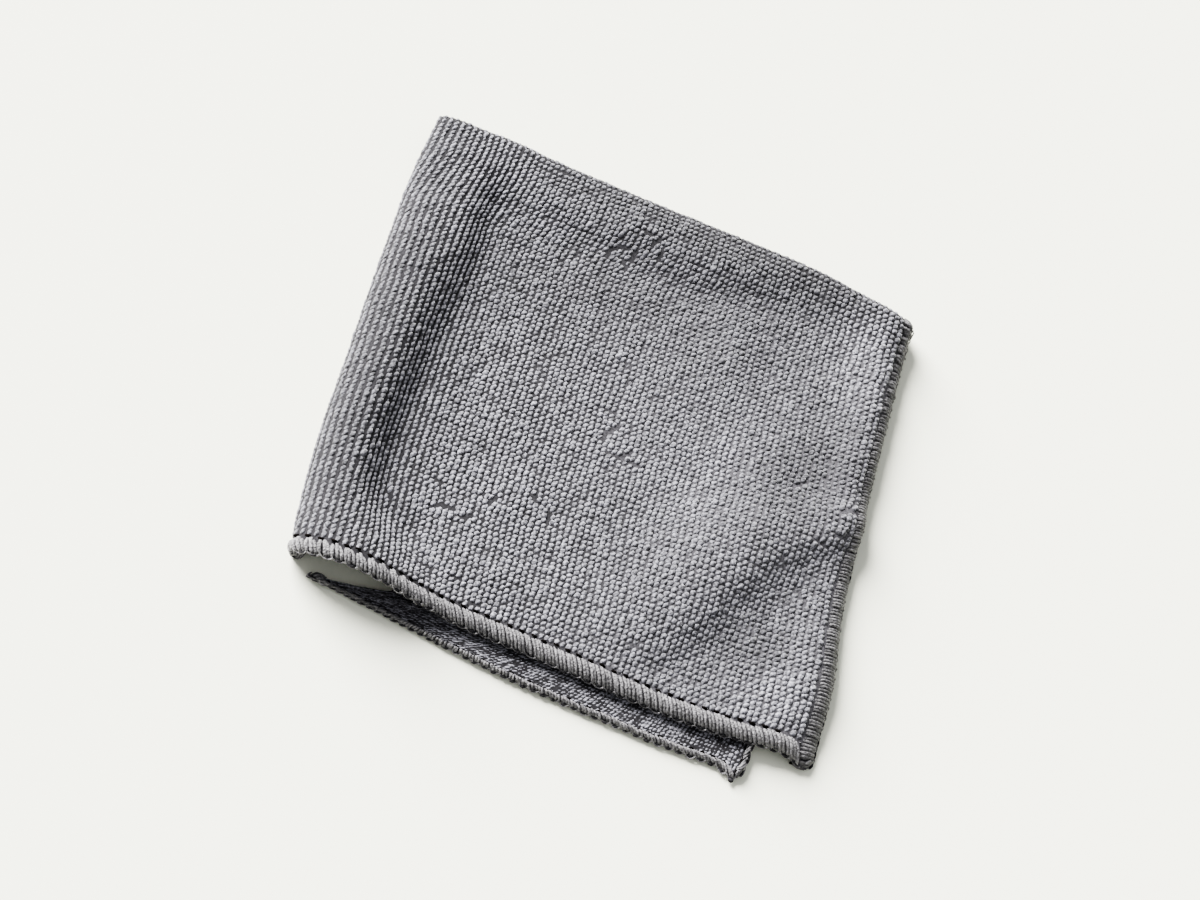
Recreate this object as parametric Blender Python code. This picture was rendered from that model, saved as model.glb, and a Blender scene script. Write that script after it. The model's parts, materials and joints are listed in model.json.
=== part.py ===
"""Grey pearl-knit microfibre cloth, folded in quarters and lying on a table.

The cloth is one sheet about 400 mm square, hemmed all round. Its first fold is the left edge and
its second the far edge, so four layers lie on each other. From the top down they are the face,
the lining of the face, and the two layers of the lower half, which has slipped out in front.
The face and its lining stand up in a puffy roll along the left edge, open at the front.

A place on the flat cloth is given by two distances in millimetres:
  across  from the left fold line: positive on the face and on the bottom layer, which wrap round
          the far edge outside, and negative on the two inner layers
  along   from the far fold line: negative on the upper half, positive on the lower half
Folded places are in millimetres too, with X to the right, Y to the back and Z up from the table,
and move by MIDDLE when the mesh is made.
"""
import bmesh
import bpy
import numpy as np

MM = 0.001
MIDDLE = (0, 4.92, 0)   # moves the middle of the folded cloth onto the origin
HALF = 200.0           # from a fold line to the hem it runs beside
THICKNESS = 1.2        # of the solid sheet
PITCH = 1.9            # from the middle of one layer to the next
BOTTOM_Z = THICKNESS / 2
FACE_Z = BOTTOM_Z + 3 * PITCH

FAR_Y = 91.5           # where the upper half starts to wrap round the far edge
FRONT_Y = -95.5        # the upper half's front hem
RIGHT_X = 96.0         # the face's right hem
LINING_X = 89.5        # the lining's right hem, short of the face's
LINING_BACK = 4.0      # how far the lining's front hem stays behind the face's
WRAP = 5.0             # cloth from the far fold line to the start of its wrap
WRAP_REACH = 2.55      # how far the middle of the wrap reaches past FAR_Y

FOOT_IN = 0.06         # how far the foot stands to the right of the bulge, by its height squared
FOOT_LIFT = 4.6        # the foot rises onto the lower half near the far edge
BULGE = 0.40           # height of the leftmost bulge, as a share of the wall's

HEM_BAND = 6.0
FRONT_DROOP = 1.5
RIGHT_DROOP = 2.2
CORNER_SAG = 2.2       # the front right corner has no lower half beneath it
LOWEST_FACE = 1.1
GATHER = 0.52          # share of its length that the lower half loses, in small waves, at its fold
BOTTOM_BACK = 0.012    # share by which the bottom layer's front hem stays behind
STRIP_DROOP = 0.6      # of the hem that shows in front
CORNER_LOBE = 3.0      # thread tail at the face's front right corner
CORNER_TAIL = 4.2      # the same at the lower half's corner


def table(columns, *rows):
    """A table of sizes: the first column is read against, the others are named."""
    return dict(zip(columns.split(), np.array(rows, float).T))


ROLL = table(
    "y left crest_x crest_z valley_x",
    (-97, -94.4, -76.0, 14.0, -34.0),
    (-90, -95.7, -76.0, 14.1, -36.0),
    (-81, -96.6, -79.5, 13.2, -48.0),
    (-66, -97.7, -85.0, 12.0, -67.0),
    (-47, -98.4, -87.0, 12.0, -72.0),
    (-19, -98.1, -85.5, 12.4, -70.5),
    (10, -97.9, -84.5, 12.4, -67.5),
    (38, -97.6, -83.0, 12.4, -62.0),
    (66, -97.1, -83.5, 11.4, -65.0),
    (92, -94.6, -87.0, 10.6, -64.0),
)
RIDGE = table(
    "y x",
    (-84, 24.0), (-80, 27.0), (-57, 41.0), (-37, 53.0), (-17, 70.0), (0, 92.0), (8, 106.0),
)
FAR_EDGE = table(
    "x out",
    (-95, 0.3), (-87, 0.8), (-78, 1.6), (-69, 3.1), (-50, 2.7), (-14, 3.1), (23, 4.2),
    (62, 4.4), (73, 3.2), (81, 1.9), (89, 0.4), (97, -1.5),
)
FRONT_EDGE = table(
    "x out",
    (-100, -0.3), (-75, -0.2), (-35, 0.0), (0, -0.6), (30, -1.6), (62, -0.7), (74, 0.7), (82, 2.0),
    (90, 2.3), (96, 1.8),
)
RIGHT_EDGE = table(
    "y out", (-97, 2.5), (-63, 2.4), (-30, 0.6), (0, 0.4), (20, -0.2), (50, 0.0), (88, 1.0)
)
LOWER_LEFT = table(
    "share x y",
    (0.000, -93.5, 91.5), (0.070, -88.5, 78.0), (0.450, -85.0, 3.0), (0.700, -77.0, -46.0),
    (0.840, -64.0, -76.0), (0.895, -58.0, -87.5), (0.920, -58.5, -91.2), (0.950, -67.0, -94.0),
    (1.000, -86.0, -98.1),
)
LOWER_RIGHT = table(
    "share x y", (0.0, 93.5, 91.5), (0.45, 84.5, 2.0), (0.93, 75.2, -92.0), (1.0, 73.8, -105.8)
)
LOWER_HEM = table(
    "x out",
    (-86, 0.0), (-58, -1.3), (-41, -2.4), (-12, -3.8), (22, -3.4), (45, -2.6), (63, -0.9), (75, -0.2),
)


def read(rows, column, at):
    """A column's value at a place between the table's rows, on a smooth curve through them."""
    keys = next(iter(rows.values()))
    values = rows[column]
    slopes = np.gradient(values, keys)
    at = np.clip(at, keys[0], keys[-1])
    i = np.clip(np.searchsorted(keys, at) - 1, 0, len(keys) - 2)
    span = keys[i + 1] - keys[i]
    f = (at - keys[i]) / span
    ends = (2 * f**3 - 3 * f**2 + 1) * values[i] + (3 * f**2 - 2 * f**3) * values[i + 1]
    return ends + span * ((f**3 - 2 * f**2 + f) * slopes[i] + (f**3 - f**2) * slopes[i + 1])


def ease(start, end, at):
    """0 before start, 1 after end, and a smooth rise between."""
    f = np.clip((at - start) / (end - start), 0, 1)
    return f * f * (3 - 2 * f)


def mound(x, y, centre, reach, height):
    """A soft round rise, with its reach along X and Y."""
    return height * np.exp(-((x - centre[0]) / reach[0]) ** 2 - ((y - centre[1]) / reach[1]) ** 2)


def relief(x, y):
    """How far the face stands above four flat layers."""
    swell_start = 62 + 12 * ease(0, 60, x)
    rise = 1.9 * ease(swell_start, swell_start + 17, y)
    past_crest = (x - read(RIDGE, "x", y)) * 0.72
    flank = np.where(past_crest < 0, 17.0, 8.0)
    ridge_ends = ease(-96, -60, y) * (1 - ease(2, 14, y))
    rise = rise + 3.0 * np.exp(-((past_crest / flank) ** 2)) * ridge_ends
    rise = rise + 1.5 * np.exp(-(((x - 87) / 8.0) ** 2)) * ease(-8, 14, y)
    rise = rise + mound(x, y, (30, 20), (34, 42), 0.9)
    return rise + mound(x, y, (82, -76), (11, 13), 1.2)


def face_height(x, y):
    """The face away from the roll, drooping at its hems."""
    front = np.clip((FRONT_Y + HEM_BAND - y) / HEM_BAND, 0, 2)
    right = np.clip((x - RIGHT_X + HEM_BAND) / HEM_BAND, 0, 2)
    corner = ease(74, 96, x) * ease(-60, -97, y)
    z = FACE_Z + relief(x, y) - FRONT_DROOP * front**2 * ease(-60, -20, x)
    z = z - RIGHT_DROOP * right**2 * (1 - 0.5 * corner) - CORNER_SAG * corner
    return np.maximum(z, LOWEST_FACE)


def half_turn(foot_x, foot_z, end):
    """The roll's lower edge, from its lowest point round to one layer or the other."""
    turn = PITCH / 2
    angle = np.radians(np.linspace(-90, end, 9)[:-1])
    return foot_x + turn + turn * np.cos(angle), foot_z + turn + turn * np.sin(angle)


def section(y):
    """The face and its lining cut across at y, each as running length, X and Z from the fold."""
    left = read(ROLL, "left", y)
    crest_x = read(ROLL, "crest_x", y)
    crest_z = read(ROLL, "crest_z", y)
    valley_x = read(ROLL, "valley_x", y)
    foot_z = BOTTOM_Z + FOOT_LIFT * ease(52, 80, y)
    wall_z = foot_z + PITCH / 2
    bulge_z = wall_z + BULGE * (crest_z - wall_z)
    foot_in = FOOT_IN * (bulge_z - wall_z) ** 2

    up = np.linspace(0, 1, 14)[:-1]
    wall = (left + foot_in * np.cos(up * np.pi / 2) ** 2, wall_z + (bulge_z - wall_z) * up)
    over = np.linspace(0, np.pi / 2, 24)[:-1]
    shoulder = (crest_x + (left - crest_x) * np.cos(over), bulge_z + (crest_z - bulge_z) * np.sin(over))
    x = np.linspace(crest_x, RIGHT_X, 260)
    down = np.clip((x - crest_x) / (valley_x - crest_x), 0, 1)
    base = face_height(x, y)
    rest = (x, base + (crest_z - base) * 0.5 * (1 + np.cos(np.pi * down)))

    face_x, face_z = (np.concatenate(part) for part in zip(wall, shoulder, rest))
    out_x, out_z = np.gradient(face_z), -np.gradient(face_x)
    length = np.hypot(out_x, out_z)
    lining_x = face_x + PITCH * out_x / length
    lining_z = face_z + PITCH * out_z / length
    inside = lining_x < LINING_X

    layers = []
    for end, line_x, line_z in ((-180, face_x, face_z), (0, lining_x[inside], lining_z[inside])):
        turn_x, turn_z = half_turn(left + foot_in, foot_z, end)
        line_x = np.concatenate([turn_x, line_x])
        line_z = np.concatenate([turn_z, line_z])
        run = np.concatenate([[0], np.cumsum(np.hypot(np.diff(line_x), np.diff(line_z)))])
        layers.append((run, line_x, line_z))
    return layers


def along_line(line, across):
    """X and Z on a section's line, its length shared out evenly from the fold to the hem."""
    run = np.abs(across) / HALF * line[0][-1]
    return np.interp(run, line[0], line[1]), np.interp(run, line[0], line[2])


def upper_half(across, share):
    """One row of the face and its lining, share of the way from the far edge to the front hem."""
    y = FAR_Y + (FRONT_Y - FAR_Y) * share
    behind = LINING_BACK * share**3
    face, lining = section(y)
    lining_behind = section(y + behind)[1]
    freed = np.clip(-across / 10, 0, 1)
    tucked = freed * behind
    x, z = along_line(face, across)
    near, far = along_line(lining, across), along_line(lining_behind, across)
    x = np.where(across >= 0, x, near[0] + (far[0] - near[0]) * freed)
    z = np.where(across >= 0, z, near[1] + (far[1] - near[1]) * freed)
    lobe = CORNER_LOBE * ease(186, HALF, across) * share**60
    corner = 3.0 * np.exp(-np.abs(across) / 6) * share**30
    row = y + tucked + corner - lobe + read(FRONT_EDGE, "out", x) * share**4
    row = row + read(FAR_EDGE, "out", x) * (1 - share) ** 4
    x = x + read(RIGHT_EDGE, "out", y) * ease(60, RIGHT_X, x)
    return x, row, z


def lower_half(across, share):
    """One row of the two lower layers, which meet in a fold hidden under the roll."""
    share = share - BOTTOM_BACK * share * ease(0.5, 1, share) * ease(0, 25, across)
    left_x, left_y = read(LOWER_LEFT, "x", share), read(LOWER_LEFT, "y", share)
    right_x, right_y = read(LOWER_RIGHT, "x", share), read(LOWER_RIGHT, "y", share)
    width = np.hypot(right_x - left_x, right_y - left_y)
    spare = HALF - width
    gathered = spare * (1 - np.exp(-np.abs(across) * GATHER / spare))
    gathered = gathered / (1 - np.exp(-HALF * GATHER / spare))
    reach = (np.abs(across) - gathered) / width
    x = left_x + (right_x - left_x) * reach
    y = left_y + (right_y - left_y) * reach
    y = y + read(LOWER_HEM, "out", x) * share**6 + read(FAR_EDGE, "out", x) * (1 - share) ** 4
    y = y - CORNER_TAIL * ease(64, 74.5, x) * share**40

    step = 0.001
    ahead, behind = np.clip(share + step, 0, 1), np.clip(share - step, 0, 1)
    edge_x = read(LOWER_LEFT, "x", ahead) - read(LOWER_LEFT, "x", behind)
    edge_y = read(LOWER_LEFT, "y", ahead) - read(LOWER_LEFT, "y", behind)
    crossing = np.abs((right_x - left_x) * edge_y - (right_y - left_y) * edge_x)
    from_fold = reach * np.maximum(crossing / np.hypot(edge_x, edge_y), 0.15 * width)
    turn = PITCH / 2
    apart = turn * np.sqrt(1 - np.clip(1 - from_fold / turn, 0, 1) ** 2)
    z = BOTTOM_Z + turn - np.sign(across) * apart
    return x, y, z - STRIP_DROOP * ease(0.98, 1.0, share) * ease(5, 25, -across)


def fold(across, along):
    """The folded place of each crossing of the cloth's own lines, as rows of (X, Y, Z)."""
    side = np.sign(across) * np.sin(np.clip(2 * np.abs(across) / PITCH, 0, np.pi / 2))
    rows = []
    for distance in along:
        share = np.clip((abs(distance) - WRAP) / (HALF - WRAP), 0, 1)
        if distance <= -WRAP:
            rows.append(np.stack(upper_half(across, share), axis=-1))
            continue
        if distance >= WRAP:
            rows.append(np.stack(lower_half(across, share), axis=-1))
            continue
        top, low = upper_half(across, 0.0), lower_half(across, 0.0)
        angle = np.pi / 2 * (1 + distance / WRAP)
        x = top[0] + (low[0] - top[0]) * (1 - np.cos(angle)) / 2
        y = FAR_Y + read(FAR_EDGE, "out", x) + (WRAP_REACH + PITCH / 2 * side) * np.sin(angle)
        z = (top[2] + low[2]) / 2 + (top[2] - low[2]) / 2 * np.cos(angle)
        rows.append(np.stack([x, y, z], axis=-1))
    return np.array(rows)


def spaced(*stretches):
    """Places along the cloth: each stretch is start, end and number of steps."""
    lines = [np.linspace(start, end, steps, endpoint=False) for start, end, steps in stretches]
    return np.concatenate(lines + [[stretches[-1][1]]])


def cloth_lines():
    """Where the solid's edges run on the flat cloth, closest together at the folds."""
    one_side = spaced((0, 1.5, 3), (1.5, 26, 9), (26, 56, 7), (56, 188, 10), (188, HALF, 2))
    across = np.concatenate([-one_side[:0:-1], one_side])
    upper = spaced((-HALF, -188, 2), (-188, -56, 8), (-56, -WRAP, 6))
    lower = spaced((-WRAP, WRAP, 6), (WRAP, 35, 2), (35, 155, 6), (155, 180, 4), (180, HALF, 7))
    return across, np.concatenate([upper[:-1], lower])


def fullness(across, along):
    """The sheet's thickness as a share: less where its two folds meet, and at the ear's tip."""
    corner = np.exp(-((across / 6) ** 2) - (along / 7) ** 2)
    ear = np.exp(-((across / 7) ** 2)) * ease(178, 196, along)
    return 1 - 0.7 * np.maximum(corner, ear)


def make_cloth():
    """The sheet as a grid on the cloth's own lines, folded and given its thickness."""
    across, along = cloth_lines()
    places = fold(across, along)
    full = fullness(across[None, :], along[:, None])
    shape = bmesh.new()
    weights = shape.verts.layers.deform.new()
    bmesh.ops.create_grid(shape, x_segments=len(across) - 1, y_segments=len(along) - 1, size=0.5)
    for vertex in shape.verts:
        column = round((vertex.co.x + 0.5) * (len(across) - 1))
        row = round((vertex.co.y + 0.5) * (len(along) - 1))
        vertex.co = (places[row, column] + MIDDLE) * MM
        vertex[weights][0] = full[row, column]
    mesh = bpy.data.meshes.new("cloth")
    shape.to_mesh(mesh)
    shape.free()
    cloth = bpy.data.objects.new("cloth", mesh)
    bpy.context.collection.objects.link(cloth)
    cloth.vertex_groups.new(name="full thickness")
    body = cloth.modifiers.new("thickness", "SOLIDIFY")
    body.vertex_group = "full thickness"
    body.thickness = THICKNESS * MM
    body.offset = 0
    mesh.shade_smooth()
    return cloth


def microfibre():
    """Grey polyester and polyamide knit, dull and slightly cool."""
    material = bpy.data.materials.new("grey microfibre knit")
    material.use_nodes = True
    shader = material.node_tree.nodes["Principled BSDF"]
    shader.inputs["Base Color"].default_value = (0.27, 0.265, 0.285, 1)
    shader.inputs["Roughness"].default_value = 0.85
    shader.inputs["Metallic"].default_value = 0
    return material


for old in list(bpy.data.objects):
    bpy.data.objects.remove(old)
make_cloth().data.materials.append(microfibre())
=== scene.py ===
import json
import math

import bpy
import numpy as np
from mathutils import Matrix, Vector

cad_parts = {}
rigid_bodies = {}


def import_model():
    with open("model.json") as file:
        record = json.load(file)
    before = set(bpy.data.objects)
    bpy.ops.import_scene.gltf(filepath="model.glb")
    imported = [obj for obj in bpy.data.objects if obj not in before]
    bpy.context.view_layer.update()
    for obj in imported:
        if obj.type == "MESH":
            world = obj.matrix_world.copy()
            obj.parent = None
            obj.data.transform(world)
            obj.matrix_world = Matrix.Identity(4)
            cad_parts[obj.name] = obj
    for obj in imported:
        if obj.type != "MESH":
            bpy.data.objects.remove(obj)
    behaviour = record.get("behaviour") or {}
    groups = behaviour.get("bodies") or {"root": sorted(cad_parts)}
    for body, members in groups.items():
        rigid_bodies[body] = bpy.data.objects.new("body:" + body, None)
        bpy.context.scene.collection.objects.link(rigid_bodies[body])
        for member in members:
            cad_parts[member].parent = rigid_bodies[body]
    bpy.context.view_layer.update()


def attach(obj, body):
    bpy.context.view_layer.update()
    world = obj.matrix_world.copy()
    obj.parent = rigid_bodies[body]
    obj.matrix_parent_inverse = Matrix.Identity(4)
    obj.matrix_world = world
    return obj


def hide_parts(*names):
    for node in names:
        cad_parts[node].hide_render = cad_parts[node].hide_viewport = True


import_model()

# The knitted ground: one square of polyester and polyamide knit about a millimetre thick, folded
# first at its left and then at its far edge. The pearls stand on its outer side. Its first fold
# stands up in a loose roll, and its lower half has slipped out in front.
MM = 0.001
MIDDLE = (0, 4.92, 0)  # moves the middle of the folded cloth onto the origin
HALF = 200.0  # from a fold line to the hem it runs beside
PITCH = 1.9  # from the middle of one layer to the next
BOTTOM_Z = 0.6
FACE_Z = BOTTOM_Z + 3 * PITCH
FAR_Y = 91.5  # where the upper half starts to wrap round the far edge
FRONT_Y = -95.5  # the upper half's front hem
RIGHT_X = 96.0  # the face's right hem
LINING_X = 89.5  # the lining's right hem, short of the face's
LINING_BACK = 4.0  # how far the lining's front hem stays behind the face's
FOLD_BACK = 3.0  # how far the left fold's front end stays behind the face's hem
WRAP = 5.0  # cloth from the far fold line to the start of its wrap
WRAP_REACH = 2.55  # how far the middle of the wrap reaches past FAR_Y
FOOT_IN = 0.06  # how far the roll's foot stands to the right of its bulge, by its height squared
FOOT_LIFT = 4.6  # the foot rises onto the lower half near the far edge
BULGE = 0.40  # height of the leftmost bulge, as a share of the roll's wall
FAR_SWELL = 1.9  # the face rises towards its far edge
RIDGE_RISE = 3.0  # the ridge that runs slantwise to the right hem
RIDGE_FLANKS = (17.0, 8.0)  # its reach to the left and to the right of its crest
RIDGE_SLANT = 0.72  # share of a step to the right that leads square across it
HEM_SWELL = 1.5  # the face rises beside its right hem, behind the ridge
HEM_BAND = 6.0
FRONT_DROOP = 1.5
RIGHT_DROOP = 2.2
CORNER_SAG = 2.2  # the front right corner has no lower half beneath it
LOWEST_FACE = 1.1
GATHER = 0.52  # share of its length that the lower half loses, in small waves, at its fold
BOTTOM_BACK = 0.012  # share by which the bottom layer's front hem stays behind
STRIP_DROOP = 0.6  # of the hem that shows in front
CORNER_LOBE = 3.0  # thread tail at the face's front right corner
CORNER_TAIL = 4.2  # the same at the lower half's corner
CORNER_RADIUS = 4.5  # of the cloth's own corners
GROUND_THICKNESS = 0.9
PRESSED = (0.03, 0.35)  # over the floor: the knit's lowest, and where it begins to press flat


def table(columns, *rows):
    """A table of sizes: the first column is read against, the others are named."""
    return dict(zip(columns.split(), np.array(rows, float).T))


# Sizes are in millimetres, apart from shares. On the flat cloth, across is the distance from the
# left fold line, positive on the face, and along the distance from the far fold line, negative on
# the upper half. On the folded cloth X runs to the right, Y to the back and Z up.
ROLL = table(
    "y left crest_x crest_z valley_x",
    (-97, -94.4, -76.0, 14.0, -34.0),
    (-90, -95.7, -76.0, 14.1, -36.0),
    (-81, -96.6, -79.5, 13.2, -48.0),
    (-66, -97.7, -85.0, 12.0, -67.0),
    (-47, -98.4, -87.0, 12.0, -72.0),
    (-19, -98.1, -85.5, 12.4, -70.5),
    (10, -97.9, -84.5, 12.4, -67.5),
    (38, -97.6, -83.0, 12.4, -62.0),
    (66, -97.1, -83.5, 11.4, -65.0),
    (92, -94.6, -87.0, 10.6, -64.0),
)
RIDGE = table(
    "y x",
    (-84, 24.0), (-80, 27.0), (-57, 41.0), (-37, 53.0), (-17, 70.0), (0, 92.0), (8, 106.0),
)
FAR_EDGE = table(
    "x out",
    (-95, 0.3), (-87, 0.8), (-78, 1.6), (-69, 3.1), (-50, 2.7), (-14, 3.1), (23, 4.2),
    (62, 4.4), (73, 3.2), (81, 1.9), (89, 0.4), (97, -1.5),
)
FRONT_EDGE = table(
    "x out",
    (-100, -0.3), (-75, -0.2), (-35, 0.0), (0, -0.6), (30, -1.6), (62, -0.7), (74, 0.7),
    (82, 2.0), (90, 2.3), (96, 1.8),
)
RIGHT_EDGE = table(
    "y out", (-97, 2.5), (-63, 2.4), (-30, 0.6), (0, 0.4), (20, -0.2), (50, 0.0), (88, 1.0)
)
LOWER_LEFT = table(
    "share x y",
    (0.000, -93.5, 91.5), (0.070, -88.5, 78.0), (0.450, -85.0, 3.0), (0.700, -77.0, -46.0),
    (0.840, -64.0, -76.0), (0.895, -58.0, -87.5), (0.920, -58.5, -91.2), (0.950, -67.0, -94.0),
    (1.000, -86.0, -98.1),
)
LOWER_RIGHT = table(
    "share x y", (0.0, 93.5, 91.5), (0.45, 84.5, 2.0), (0.93, 75.2, -92.0), (1.0, 73.8, -105.8)
)
LOWER_HEM = table(
    "x out",
    (-86, 0.0), (-58, -1.3), (-41, -2.4), (-12, -3.8), (22, -3.4), (45, -2.6), (63, -0.9),
    (75, -0.2),
)


def read(rows, column, at):
    """A column's value at a place between the table's rows, on a smooth curve through them."""
    keys = next(iter(rows.values()))
    values = rows[column]
    slopes = np.gradient(values, keys)
    at = np.clip(at, keys[0], keys[-1])
    i = np.clip(np.searchsorted(keys, at) - 1, 0, len(keys) - 2)
    span = keys[i + 1] - keys[i]
    f = (at - keys[i]) / span
    ends = (2 * f**3 - 3 * f**2 + 1) * values[i] + (3 * f**2 - 2 * f**3) * values[i + 1]
    return ends + span * ((f**3 - 2 * f**2 + f) * slopes[i] + (f**3 - f**2) * slopes[i + 1])


def ease(start, end, at):
    """0 before start, 1 after end, and a smooth rise between."""
    f = np.clip((at - start) / (end - start), 0, 1)
    return f * f * (3 - 2 * f)


def mound(x, y, centre, reach, height):
    """A soft round rise, with its reach along X and Y."""
    return height * np.exp(-((x - centre[0]) / reach[0]) ** 2 - ((y - centre[1]) / reach[1]) ** 2)


def relief(x, y):
    """How far the face stands above four flat layers."""
    swell_start = 62 + 12 * ease(0, 60, x)
    rise = FAR_SWELL * ease(swell_start, swell_start + 17, y)
    past_crest = (x - read(RIDGE, "x", y)) * RIDGE_SLANT
    flank = np.where(past_crest < 0, *RIDGE_FLANKS)
    ridge_ends = ease(-96, -60, y) * (1 - ease(2, 14, y))
    rise = rise + RIDGE_RISE * np.exp(-((past_crest / flank) ** 2)) * ridge_ends
    rise = rise + HEM_SWELL * np.exp(-(((x - 87) / 8.0) ** 2)) * ease(-8, 14, y)
    rise = rise + mound(x, y, (30, 20), (34, 42), 0.9)
    return rise + mound(x, y, (82, -76), (11, 13), 1.2)


def face_height(x, y):
    """The face away from the roll, drooping at its hems."""
    front = np.clip((FRONT_Y + HEM_BAND - y) / HEM_BAND, 0, 2)
    right = np.clip((x - RIGHT_X + HEM_BAND) / HEM_BAND, 0, 2)
    corner = ease(74, 96, x) * ease(-60, -97, y)
    z = FACE_Z + relief(x, y) - FRONT_DROOP * front**2 * ease(-60, -20, x)
    z = z - RIGHT_DROOP * right**2 * (1 - 0.5 * corner) - CORNER_SAG * corner
    return np.maximum(z, LOWEST_FACE)


def half_turn(foot_x, foot_z, end):
    """The roll's lower edge, from its lowest point round to one layer or the other."""
    turn = PITCH / 2
    angle = np.radians(np.linspace(-90, end, 9)[:-1])
    return foot_x + turn + turn * np.cos(angle), foot_z + turn + turn * np.sin(angle)


def section(y):
    """The face and its lining cut across at y, each as running length, X and Z from the fold."""
    left = read(ROLL, "left", y)
    crest_x = read(ROLL, "crest_x", y)
    crest_z = read(ROLL, "crest_z", y)
    valley_x = read(ROLL, "valley_x", y)
    foot_z = BOTTOM_Z + FOOT_LIFT * ease(52, 80, y)
    wall_z = foot_z + PITCH / 2
    bulge_z = wall_z + BULGE * (crest_z - wall_z)
    foot_in = FOOT_IN * (bulge_z - wall_z) ** 2

    up = np.linspace(0, 1, 14)[:-1]
    wall = (left + foot_in * np.cos(up * np.pi / 2) ** 2, wall_z + (bulge_z - wall_z) * up)
    over = np.linspace(0, np.pi / 2, 24)[:-1]
    shoulder = (
        crest_x + (left - crest_x) * np.cos(over),
        bulge_z + (crest_z - bulge_z) * np.sin(over),
    )
    x = np.linspace(crest_x, RIGHT_X, 260)
    down = np.clip((x - crest_x) / (valley_x - crest_x), 0, 1)
    base = face_height(x, y)
    rest = (x, base + (crest_z - base) * 0.5 * (1 + np.cos(np.pi * down)))

    face_x, face_z = (np.concatenate(part) for part in zip(wall, shoulder, rest))
    out_x, out_z = np.gradient(face_z), -np.gradient(face_x)
    length = np.hypot(out_x, out_z)
    lining_x = face_x + PITCH * out_x / length
    lining_z = face_z + PITCH * out_z / length
    inside = lining_x < LINING_X

    layers = []
    for end, line_x, line_z in ((-180, face_x, face_z), (0, lining_x[inside], lining_z[inside])):
        turn_x, turn_z = half_turn(left + foot_in, foot_z, end)
        line_x = np.concatenate([turn_x, line_x])
        line_z = np.concatenate([turn_z, line_z])
        run = np.concatenate([[0], np.cumsum(np.hypot(np.diff(line_x), np.diff(line_z)))])
        layers.append((run, line_x, line_z))
    return layers


def along_line(line, across):
    """X and Z on a section's line, its length shared out evenly from the fold to the hem."""
    run = np.abs(across) / HALF * line[0][-1]
    return np.interp(run, line[0], line[1]), np.interp(run, line[0], line[2])


def upper_half(across, share):
    """One row of the face and its lining, share of the way from the far edge to the front hem."""
    y = FAR_Y + (FRONT_Y - FAR_Y) * share
    behind = LINING_BACK * share**3
    face, lining = section(y)
    lining_behind = section(y + behind)[1]
    freed = np.clip(-across / 10, 0, 1)
    tucked = freed * behind
    x, z = along_line(face, across)
    near, far = along_line(lining, across), along_line(lining_behind, across)
    x = np.where(across >= 0, x, near[0] + (far[0] - near[0]) * freed)
    z = np.where(across >= 0, z, near[1] + (far[1] - near[1]) * freed)
    lobe = CORNER_LOBE * ease(186, HALF, across) * share**60
    fold_end = FOLD_BACK * np.exp(-np.abs(across) / 6) * share**30
    row = y + tucked + fold_end - lobe + read(FRONT_EDGE, "out", x) * share**4
    row = row + read(FAR_EDGE, "out", x) * (1 - share) ** 4
    x = x + read(RIGHT_EDGE, "out", y) * ease(60, RIGHT_X, x)
    return x, row, z


def lower_half(across, share):
    """One row of the two lower layers, which meet in a fold hidden under the roll."""
    share = share - BOTTOM_BACK * share * ease(0.5, 1, share) * ease(0, 25, across)
    left_x, left_y = read(LOWER_LEFT, "x", share), read(LOWER_LEFT, "y", share)
    right_x, right_y = read(LOWER_RIGHT, "x", share), read(LOWER_RIGHT, "y", share)
    width = np.hypot(right_x - left_x, right_y - left_y)
    spare = HALF - width
    gathered = spare * (1 - np.exp(-np.abs(across) * GATHER / spare))
    gathered = gathered / (1 - np.exp(-HALF * GATHER / spare))
    reach = (np.abs(across) - gathered) / width
    x = left_x + (right_x - left_x) * reach
    y = left_y + (right_y - left_y) * reach
    y = y + read(LOWER_HEM, "out", x) * share**6 + read(FAR_EDGE, "out", x) * (1 - share) ** 4
    y = y - CORNER_TAIL * ease(64, 74.5, x) * share**40

    step = 0.001
    ahead, behind = np.clip(share + step, 0, 1), np.clip(share - step, 0, 1)
    edge_x = read(LOWER_LEFT, "x", ahead) - read(LOWER_LEFT, "x", behind)
    edge_y = read(LOWER_LEFT, "y", ahead) - read(LOWER_LEFT, "y", behind)
    crossing = np.abs((right_x - left_x) * edge_y - (right_y - left_y) * edge_x)
    from_fold = reach * np.maximum(crossing / np.hypot(edge_x, edge_y), 0.15 * width)
    turn = PITCH / 2
    apart = turn * np.sqrt(1 - np.clip(1 - from_fold / turn, 0, 1) ** 2)
    z = BOTTOM_Z + turn - np.sign(across) * apart
    return x, y, z - STRIP_DROOP * ease(0.98, 1.0, share) * ease(5, 25, -across)


def fold(across, along):
    """The folded place of each crossing of the cloth's own lines, as rows of (X, Y, Z)."""
    side = np.sign(across) * np.sin(np.clip(2 * np.abs(across) / PITCH, 0, np.pi / 2))
    rows = []
    for distance in along:
        share = np.clip((abs(distance) - WRAP) / (HALF - WRAP), 0, 1)
        if distance <= -WRAP:
            rows.append(np.stack(upper_half(across, share), axis=-1))
            continue
        if distance >= WRAP:
            rows.append(np.stack(lower_half(across, share), axis=-1))
            continue
        top, low = upper_half(across, 0.0), lower_half(across, 0.0)
        angle = np.pi / 2 * (1 + distance / WRAP)
        x = top[0] + (low[0] - top[0]) * (1 - np.cos(angle)) / 2
        y = FAR_Y + read(FAR_EDGE, "out", x) + (WRAP_REACH + PITCH / 2 * side) * np.sin(angle)
        z = (top[2] + low[2]) / 2 + (top[2] - low[2]) / 2 * np.cos(angle)
        rows.append(np.stack([x, y, z], axis=-1))
    return np.array(rows)


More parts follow.
